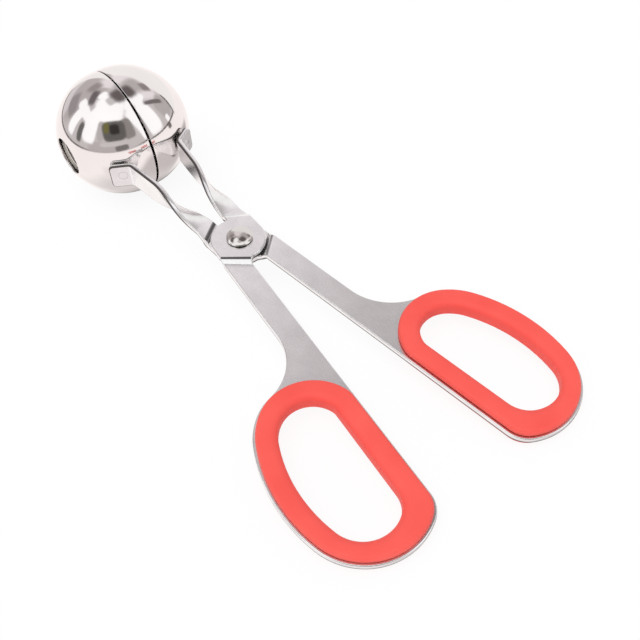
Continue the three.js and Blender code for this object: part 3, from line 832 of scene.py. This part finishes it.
def flat_board(name, centre, half_width, half_height, towards, material):
    """A rectangle that faces a point: two unit vectors square to the view carry its half sizes."""
    normal = Vector(towards) - Vector(centre)
    normal.normalize()
    side = Vector((0, 0, 1)).cross(normal)
    side = side.normalized() if side.length > 1e-3 else Vector((1, 0, 0))
    rise = normal.cross(side)
    corners = [Vector(centre) + side * half_width * a + rise * half_height * b
               for a, b in ((-1, -1), (1, -1), (1, 1), (-1, 1))]
    mesh = bpy.data.meshes.new(name)
    mesh.from_pydata(corners, [], [(0, 1, 2, 3)])
    layer = mesh.uv_layers.new(name="board")
    layer.data.foreach_set("uv", [-1, -1, 1, -1, 1, 1, -1, 1])
    mesh.materials.append(material)
    obj = bpy.data.objects.new(name, mesh)
    bpy.context.scene.collection.objects.link(obj)
    return obj


# Table, and the shade on it right under the ball, in metres

TABLE_HALF = 3.0
TABLE_DROP = 0.0002
SHADE_PLACE = (0.002, 0.079)
SHADE_HALF = 0.024
SHADE_RISE = 0.0001

table = flat_board("table_card", (0, 0, -TABLE_DROP), TABLE_HALF, TABLE_HALF, (0, 0, 1), white_table())
table.visible_glossy = False


def contact_shade():
    """The dark of the card right under the ball, where no light comes in: full in the middle and
    gone at the rim, by the distance from the middle in shares of the board's half width."""
    material, tree = blank_material("shade_under_the_ball")
    place = add(tree, "ShaderNodeUVMap", uv_map="board").outputs[0]
    reach = add(tree, "ShaderNodeVectorMath", [(0, place)], operation="LENGTH").outputs["Value"]
    share = add(tree, "ShaderNodeMapRange", [(0, reach)], interpolation_type="SMOOTHSTEP",
                in_1=0.3, in_2=0.86, in_3=1.0, in_4=0.0).outputs[0]
    clear = add(tree, "ShaderNodeBsdfTransparent")
    dark = add(tree, "ShaderNodeEmission", in_0=linear("#3a3635"), in_1=1.0)
    mix = add(tree, "ShaderNodeMixShader", [(0, share), (1, clear.outputs[0]), (2, dark.outputs[0])])
    add(tree, "ShaderNodeOutputMaterial", [(0, mix.outputs[0])])
    return material


# The table's own shadows don't reach the mirror surfaces, so this board brings the one that counts
shade_card = flat_board("ball_shade_card", (*SHADE_PLACE, SHADE_RISE), SHADE_HALF, SHADE_HALF,
                        (*SHADE_PLACE, 1), contact_shade())
shade_card.visible_camera = shade_card.visible_diffuse = shade_card.visible_shadow = False

# What stands round the tool and shows only in its mirror surfaces, painted one over the other:
# azimuth from +X, angle from the zenith, half width, half height, turn, softness, colour.
# Angles are in degrees. The walls come first, then the soft boxes, then the gaps between them.
ROOM = (
    (96, 55, 34, 32, 0, 0.25, "#b4adad"),
    (117, 66, 14, 10, 0, 0.5, "#958f8f"),
    (98, 84, 17, 9, 0, 0.3, "#d0cbcb"),
    (28, 40, 34, 16, 0, 0.3, "#e4dddf"),
    (-18, 72, 14, 16, 0, 0.3, "#b0abaa"),
    (-145, 86, 30, 12, 0, 0.3, "#b4adad"),
    (-130, 16, 24, 22, 0, 0.25, "#ffffff"),
    (-176, 50, 13, 30, 0, 0.2, "#ffffff"),
    (144, 60, 8, 25, 0, 0.2, "#ffffff"),
    (152, 43, 24, 8, 0, 0.2, "#ffffff"),
    (96, 15, 8, 8, 0, 0.3, "#ffffff"),
    (-58, 60, 15, 30, 0, 0.25, "#ffffff"),
    (-36, 30, 14, 8, 0, 0.3, "#ffffff"),
    (-27, 86, 4, 5, 0, 0.4, "#ffffff"),
    (0, 2, 8, 8, 0, 0.5, "#c5c1c1"),
    (24, 35, 15, 13, 0, 0.7, "#b2acac"),
    (12, 17, 13, 11, 0, 0.7, "#645c5c"),
    (88, 44, 9, 8, 0, 0.8, "#958d8c"),
    (12, 48, 8, 7, 0, 0.7, "#8a8181"),
    (-152, 56, 6, 17, 0, 0.2, "#b4afae"),
    (-92, 57, 11, 18, 0, 0.2, "#8a8582"),
    (-122, 55, 21, 18, 0, 0.2, "#605d5a"),
    (-120, 52, 9, 9, 0, 0.5, "#343230"),
    (-139, 49, 5, 9, 0, 0.4, "#6d6840"),
    (-128, 78, 24, 4, 0, 0.3, "#c6c1c0"),
    (-114, 87, 12, 5, 0, 0.25, "#74706e"),
    (165, 70, 5, 15, 0, 0.3, "#656361"),
    (116, 30, 13, 6, 0, 0.6, "#6a6464"),
    (-22, 54, 18, 3.5, -52, 0.4, "#6f6969"),
)

# Painted last, over the table and the backdrop too: the backdrop's dark edge, the tool's own shade
# under the ball and between the tabs, and a small lamp stand by the table's edge
SHADES = (
    (-40, 148, 30, 26, 0, 0.45, "#c4bebd"),
    (-30, 131, 17, 7, -32, 0.4, "#5f5958"),
    (3, 126, 15, 10, 0, 0.6, "#b5afae"),
    (-134, 134, 20, 12, 0, 0.8, "#e4dcdb"),
    (150, 172, 26, 26, 0, 0.9, "#d6d1d0"),
    (-3.5, 81, 1.5, 14, -19, 0.4, "#3f3a39"),
    (-31, 96, 4, 4, 0, 0.4, "#6d6663"),
)


def towards(azimuth, zenith):
    """Unit vector at an azimuth from +X and an angle from the zenith, in degrees."""
    a, z = math.radians(azimuth), math.radians(zenith)
    return Vector((math.sin(z) * math.cos(a), math.sin(z) * math.sin(a), math.cos(z)))


def painted(tree, view, under, azimuth, zenith, width, height, turn, softness, hex_colour):
    """Paints one soft-edged board over what is under it: inside where x^4 + y^4 < 1, with x and y
    the direction's place on the board in half widths and half heights."""
    centre = towards(azimuth, zenith)
    rise = (Vector((0, 0, 1)) - centre * centre.z).normalized()
    side = rise.cross(centre)
    turned = Matrix.Rotation(math.radians(turn), 3, centre)
    side, rise = turned @ side, turned @ rise
    euler = Matrix((side, rise, centre)).transposed().to_euler()
    scale = (math.sin(math.radians(width)), math.sin(math.radians(height)), 0.9)
    local = add(tree, "ShaderNodeMapping", [(0, view)], vector_type="TEXTURE",
                in_1=tuple(centre), in_2=tuple(euler), in_3=scale).outputs[0]
    square = add(tree, "ShaderNodeVectorMath", [(0, local), (1, local)], operation="MULTIPLY").outputs[0]
    reach = add(tree, "ShaderNodeVectorMath", [(0, square)], operation="LENGTH").outputs["Value"]
    mask = add(tree, "ShaderNodeMapRange", [(0, reach)], interpolation_type="SMOOTHSTEP",
               in_1=1 - softness, in_2=1 + softness, in_3=1.0, in_4=0.0).outputs[0]
    return add(tree, "ShaderNodeMixRGB", [(0, mask), (1, under)], in_2=linear(hex_colour)).outputs[0]


def half_sky(tree, view, first, second, softness):
    """1 on the left of the great circle that runs from one direction to another, else 0."""
    normal = first.cross(second).normalized()
    side = add(tree, "ShaderNodeVectorMath", [(0, view)], operation="DOT_PRODUCT", in_1=tuple(normal))
    return add(tree, "ShaderNodeMapRange", [(0, side.outputs["Value"])], interpolation_type="SMOOTHSTEP",
               in_1=-softness, in_2=softness).outputs[0]


def white_studio():
    """White where the camera looks past the tool, a plain level of light on the matt surfaces, and
    the room in mirror surfaces: a white table to the horizon, where a dark line fades towards the
    camera, a white backdrop behind the tool with a level upper edge and slanting sides, the boards
    of the list, and the shades over all."""
    world = bpy.data.worlds.new("white_studio")
    bpy.context.scene.world = world
    world.use_nodes = True
    tree = world.node_tree
    tree.nodes.clear()
    view = add(tree, "ShaderNodeTexCoord").outputs["Generated"]
    room = add(tree, "ShaderNodeRGB")
    room.outputs[0].default_value = linear("#c4bebe")
    colour = room.outputs[0]
    for board in ROOM:
        colour = painted(tree, view, colour, *board)
    corners = [towards(-10, 95), towards(8, 55), towards(67, 53), towards(89, 95)]
    inside = None
    for first, second in zip(corners, corners[1:]):
        side = half_sky(tree, view, second, first, 0.02)
        inside = side if inside is None else add(
            tree, "ShaderNodeMath", [(0, inside), (1, side)], operation="MULTIPLY").outputs[0]
    colour = add(tree, "ShaderNodeMixRGB", [(0, inside), (1, colour)], in_2=linear("#eeebea")).outputs[0]
    # Far edge of the table, a dark line a little under the horizon
    edge = add(tree, "ShaderNodeMixRGB", [(1, colour)], in_2=linear("#3d3634"))
    height = add(tree, "ShaderNodeSeparateXYZ", [(0, view)]).outputs["Z"]
    line = add(tree, "ShaderNodeMath", [(0, height)], operation="COMPARE", in_1=-0.037, in_2=0.023)
    open_side = add(tree, "ShaderNodeMath", [(0, line.outputs[0]), (1, inside)], operation="SUBTRACT",
                    use_clamp=True)
    near = add(tree, "ShaderNodeVectorMath", [(0, view)], operation="DOT_PRODUCT",
               in_1=tuple(towards(-130, 90))).outputs["Value"]
    far = add(tree, "ShaderNodeMapRange", [(0, near)], interpolation_type="SMOOTHSTEP",
              in_1=0.45, in_2=0.85, in_3=1.0, in_4=0.15).outputs[0]
    drawn = add(tree, "ShaderNodeMath", [(0, open_side.outputs[0]), (1, far)], operation="MULTIPLY")
    tree.links.new(drawn.outputs[0], edge.inputs[0])
    below = add(tree, "ShaderNodeMapRange", [(0, height)], interpolation_type="SMOOTHSTEP",
                in_1=-0.045, in_2=-0.065).outputs[0]
    colour = add(tree, "ShaderNodeMixRGB", [(0, below), (1, edge.outputs[0])],
                 in_2=linear("#f6f0ee")).outputs[0]
    for shade in SHADES:
        colour = painted(tree, view, colour, *shade)
    path = add(tree, "ShaderNodeLightPath")
    mirrored = add(tree, "ShaderNodeBackground", [(0, colour)], in_1=1.12)
    plain = add(tree, "ShaderNodeBackground", in_0=(1, 1, 1, 1), in_1=0.6)
    white = add(tree, "ShaderNodeBackground", in_0=(1, 1, 1, 1), in_1=1.0)
    matt = add(tree, "ShaderNodeMixShader", [
        (0, path.outputs["Is Glossy Ray"]), (1, plain.outputs[0]), (2, mirrored.outputs[0])])
    seen = add(tree, "ShaderNodeMixShader", [
        (0, path.outputs["Is Camera Ray"]), (1, matt.outputs[0]), (2, white.outputs[0])])
    add(tree, "ShaderNodeOutputWorld", [(0, seen.outputs[0])])


white_studio()


def soft_lamp(name, place, spread, strength):
    """Even light from a large soft box far away, seen from the tool under the angle of spread."""
    light = bpy.data.lights.new(name, "SUN")
    light.angle = spread
    light.energy = strength
    obj = bpy.data.objects.new(name, light)
    obj.location = place
    obj.rotation_euler = (-Vector(place)).to_track_quat("-Z", "Y").to_euler()
    obj.visible_glossy = False
    bpy.context.scene.collection.objects.link(obj)
    return obj


soft_lamp("overhead_softbox", (-0.3, -0.2, 0.9), math.radians(50), 1.5)


# Camera, fitted to the photograph: sensor width in mm, and the picture's width and the focal
# length in its pixels. The frame is square.

SENSOR_WIDTH = 36
PHOTO_WIDTH = 640
FOCAL_LENGTH = 863.73

camera_data = bpy.data.cameras.new("photo_camera")
camera_data.sensor_width = SENSOR_WIDTH
camera_data.sensor_fit = "HORIZONTAL"
camera_data.lens = SENSOR_WIDTH * FOCAL_LENGTH / PHOTO_WIDTH
camera_data.clip_start = 0.01
camera = bpy.data.objects.new("photo_camera", camera_data)
right = Vector((0.778207, -0.622223, -0.085044))
upwards = Vector((0.50488, 0.539332, 0.673957))
back = Vector((-0.373484, -0.567415, 0.733859))
turning = Matrix((right, upwards, back)).transposed().to_4x4()
camera.matrix_world = Matrix.Translation((-0.092846, -0.171753, 0.191982)) @ turning
bpy.context.scene.collection.objects.link(camera)
bpy.context.scene.camera = camera

bpy.context.scene.view_settings.view_transform = "Standard"
